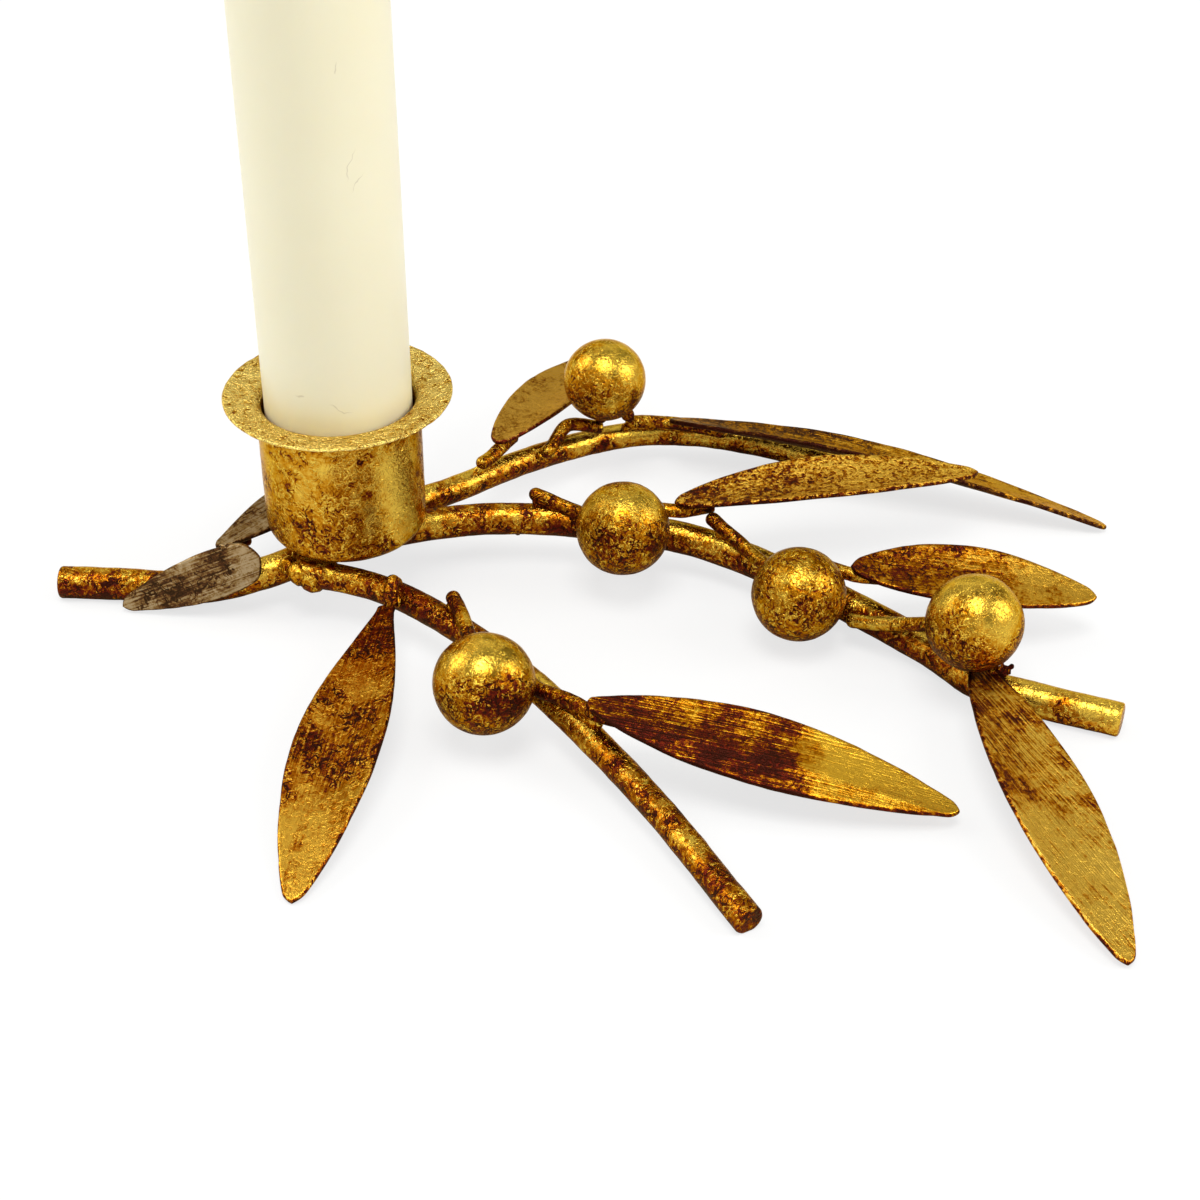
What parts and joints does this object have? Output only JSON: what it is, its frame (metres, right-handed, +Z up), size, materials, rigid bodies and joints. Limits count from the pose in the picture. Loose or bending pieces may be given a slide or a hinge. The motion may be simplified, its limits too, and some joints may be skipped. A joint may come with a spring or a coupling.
{
  "type": "candlestick",
  "caption": "Low candlestick made as a gilded sprig: a flanged cup for a candle, welded on bent rods that carry ball berries and dished sheet leaves.",
  "frame": {"origin": "middle of the whole footprint, on the table", "axes": "+X along the main stem, from its short foot past the cup to its far end; +Y away from the viewer, to the back branch; +Z up along the candle"},
  "size_m": [0.1648, 0.1468, 0.1448],
  "materials": {
    "gilt_rod": "worn gold leaf over a red-brown ground, on steel rod",
    "gilt_wire": "worn gold leaf over a red-brown ground, on steel wire",
    "gilt_berry": "speckled gold leaf over a red-brown ground, on a steel ball",
    "gilt_leaf": "brushed gold leaf worn to a red-brown ground, on sheet steel",
    "worn_leaf": "dull grey-brown, the gold leaf nearly gone, on sheet steel",
    "gilt_cup": "gold leaf worn in specks to a red-brown ground, on spun steel",
    "wax": "smooth ivory candle wax",
    "cotton": "braided cotton wick"
  },
  "bodies": {
    "sprig": {"main_stem_rod": "gilt_rod", "front_branch_rod": "gilt_rod", "back_branch_rod": "gilt_rod", "stem_inner_berry": "gilt_berry", "stem_inner_berry_wire": "gilt_wire", "stem_middle_berry": "gilt_berry", "stem_middle_berry_wire": "gilt_wire", "stem_outer_berry": "gilt_berry", "stem_outer_berry_wire": "gilt_wire", "front_branch_berry": "gilt_berry", "front_branch_berry_wire": "gilt_wire", "back_branch_berry": "gilt_berry", "back_branch_berry_wire": "gilt_wire", "front_inner_leaf": "gilt_leaf", "front_inner_leaf_wire": "gilt_wire", "front_outer_leaf": "gilt_leaf", "front_outer_leaf_wire": "gilt_wire", "stem_inner_leaf": "gilt_leaf", "stem_inner_leaf_wire": "gilt_wire", "stem_middle_leaf": "gilt_leaf", "stem_middle_leaf_wire": "gilt_wire", "stem_outer_leaf": "gilt_leaf", "back_inner_leaf": "gilt_leaf", "back_inner_leaf_wire": "gilt_wire", "back_outer_leaf": "gilt_leaf", "back_outer_leaf_wire": "gilt_wire", "stem_foot_front_leaf": "worn_leaf", "stem_foot_back_leaf": "worn_leaf", "stem_foot_back_leaf_wire": "gilt_wire", "candle_cup": "gilt_cup"},
    "candle": {"candle": "wax", "candle_wick": "cotton"}
  },
  "joints": [
    {"name": "candle_lift", "type": "slide", "parent": "sprig", "child": "candle", "axis": [0, 0, 1], "range_m": [0, 0.03]}
  ]
}
